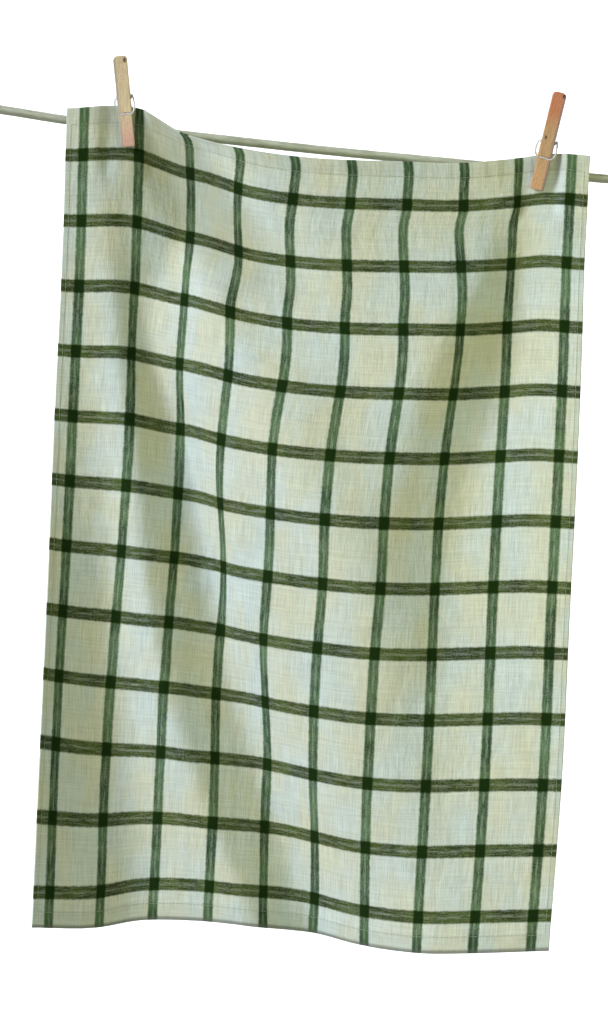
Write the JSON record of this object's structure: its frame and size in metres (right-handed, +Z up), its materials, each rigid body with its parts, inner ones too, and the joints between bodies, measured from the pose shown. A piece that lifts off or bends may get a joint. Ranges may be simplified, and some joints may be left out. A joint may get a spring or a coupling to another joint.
{
  "type": "tea towel pegged on a washing line",
  "caption": "Woven check tea towel hung by its top corners from wooden spring pegs on a taut washing line with bound eyes; a soft diagonal fold falls from the left peg.",
  "frame": {"origin": "the middle of the eye at the line's left end, seen from the towel's front", "axes": "+X along the line to the right as seen from the front, -Y out of the towel's front face, +Z up"},
  "size_m": [0.6678, 0.0867, 0.7757],
  "materials": {
    "linen": "woven, matte, pale sage with a dark green windowpane check",
    "rope": "braided, matte, pale sage",
    "twine": "wound, matte",
    "pale_wood": "bare, weathered",
    "warm_wood": "bare, weathered",
    "steel": "drawn wire, dull"
  },
  "bodies": {
    "root": {"tea_towel": "linen", "washing_line": "rope", "line_binding_left": "twine", "line_binding_right": "twine", "peg_left_front": "pale_wood", "peg_left_back": "pale_wood", "peg_left_spring": "steel", "peg_right_front": "warm_wood", "peg_right_back": "warm_wood", "peg_right_spring": "steel"}
  },
  "joints": []
}
